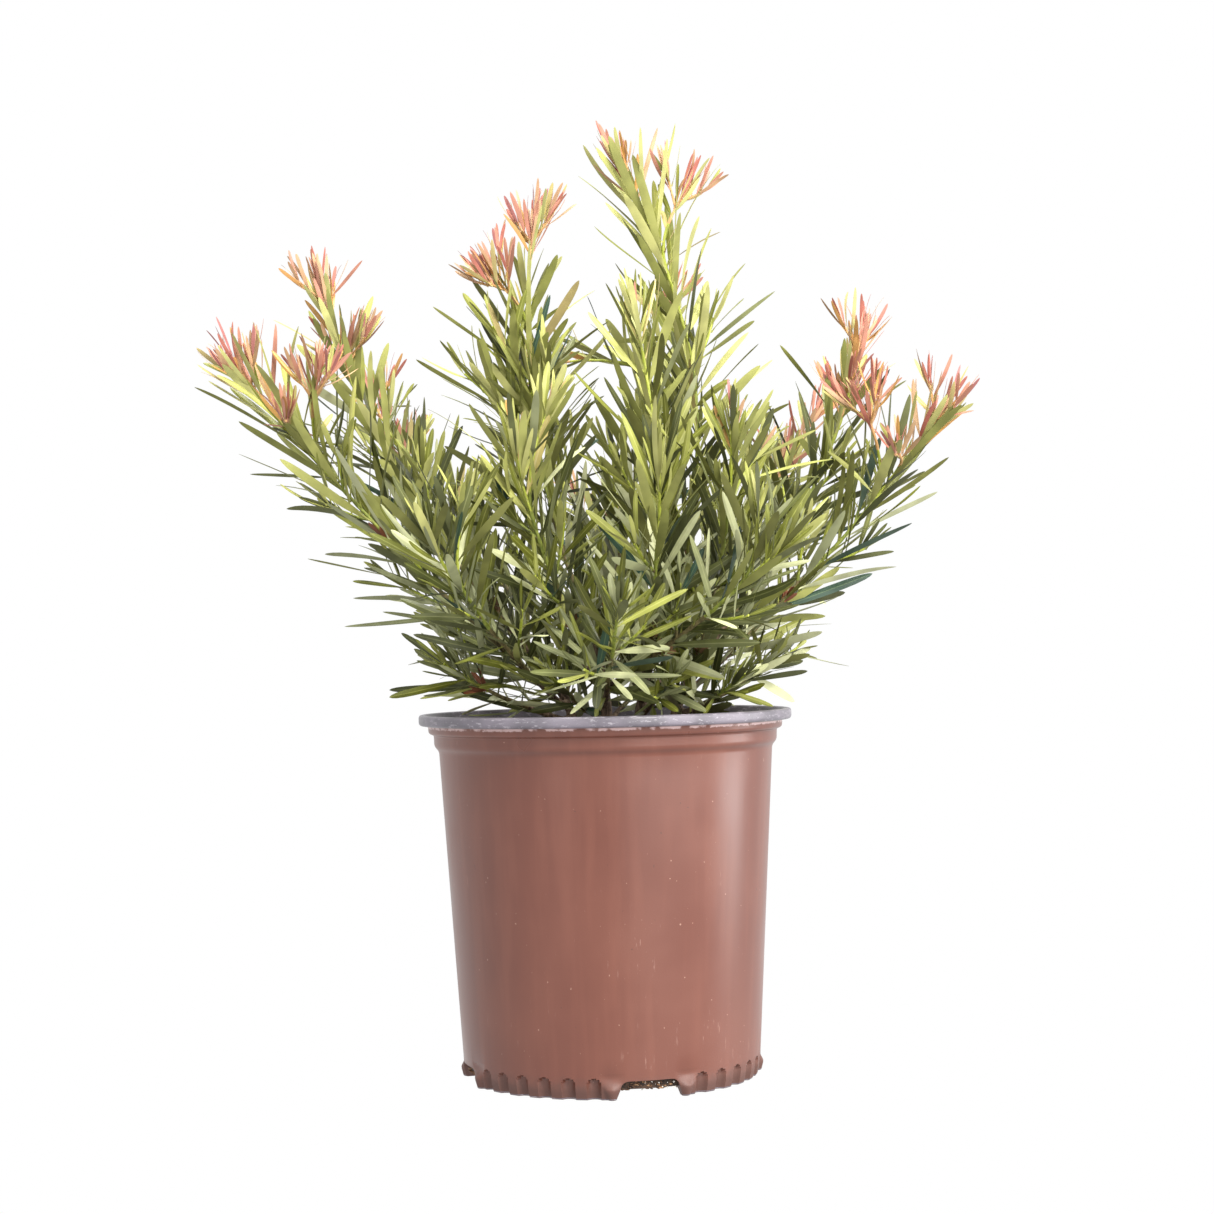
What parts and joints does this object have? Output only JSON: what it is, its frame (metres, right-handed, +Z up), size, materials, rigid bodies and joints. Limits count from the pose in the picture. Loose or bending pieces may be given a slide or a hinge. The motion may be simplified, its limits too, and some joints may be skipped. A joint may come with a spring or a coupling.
{
  "type": "potted podocarpus",
  "caption": "Bushy evergreen shrub with narrow strap leaves and coral new growth, several short stems, standing in its round tapered plastic nursery pot filled with potting mix.",
  "frame": {"origin": "middle of the pot's flat underside, on the ground", "axes": "+Z up, -Y towards the front of the plant, +X to the right seen from the front"},
  "size_m": [0.5029, 0.4297, 0.5986],
  "materials": {
    "pot_plastic": "terracotta brown blow-moulded plastic, satin, with a dark grey worn lip",
    "potting_mix": "loose dark bark mix with white perlite",
    "bark": "thin brown fissured bark, turning green towards the shoots",
    "foliage": "leathery strap leaves, dark green low down to yellow green, with coral pink tips"
  },
  "bodies": {
    "root": {"pot": "pot_plastic", "potting_mix": "potting_mix", "stem_left": "bark", "stem_middle": "bark", "stem_tall": "bark", "stem_right": "bark", "stem_back": "bark", "bough_left_inner": "bark", "bough_left_outer": "bark", "bough_front_left": "bark", "bough_left_low": "bark", "bough_centre_left": "bark", "bough_left_front": "bark", "bough_front_right": "bark", "bough_front_low": "bark", "bough_low_middle": "bark", "bough_tall": "bark", "bough_centre_front": "bark", "bough_front_middle": "bark", "bough_low_tall": "bark", "bough_back_low_right": "bark", "bough_right_inner": "bark", "bough_right_outer": "bark", "bough_right_front": "bark", "bough_right_low": "bark", "bough_low_right": "bark", "bough_back_high": "bark", "bough_back_left": "bark", "bough_back_right": "bark", "bough_back_middle": "bark", "bough_back_low_left": "bark", "bough_low_back": "bark", "shoot_left_inner": "foliage", "shoot_left_outer": "foliage", "shoot_front_left": "foliage", "shoot_left_low": "foliage", "shoot_centre_left": "foliage", "shoot_left_front": "foliage", "shoot_front_right": "foliage", "shoot_front_low": "foliage", "shoot_low_middle": "foliage", "shoot_tall": "foliage", "shoot_centre_front": "foliage", "shoot_front_middle": "foliage", "shoot_low_tall": "foliage", "shoot_back_low_right": "foliage", "shoot_right_inner": "foliage", "shoot_right_outer": "foliage", "shoot_right_front": "foliage", "shoot_right_low": "foliage", "shoot_low_right": "foliage", "shoot_back_high": "foliage", "shoot_back_left": "foliage", "shoot_back_right": "foliage", "shoot_back_middle": "foliage", "shoot_back_low_left": "foliage", "shoot_low_back": "foliage"}
  },
  "joints": []
}
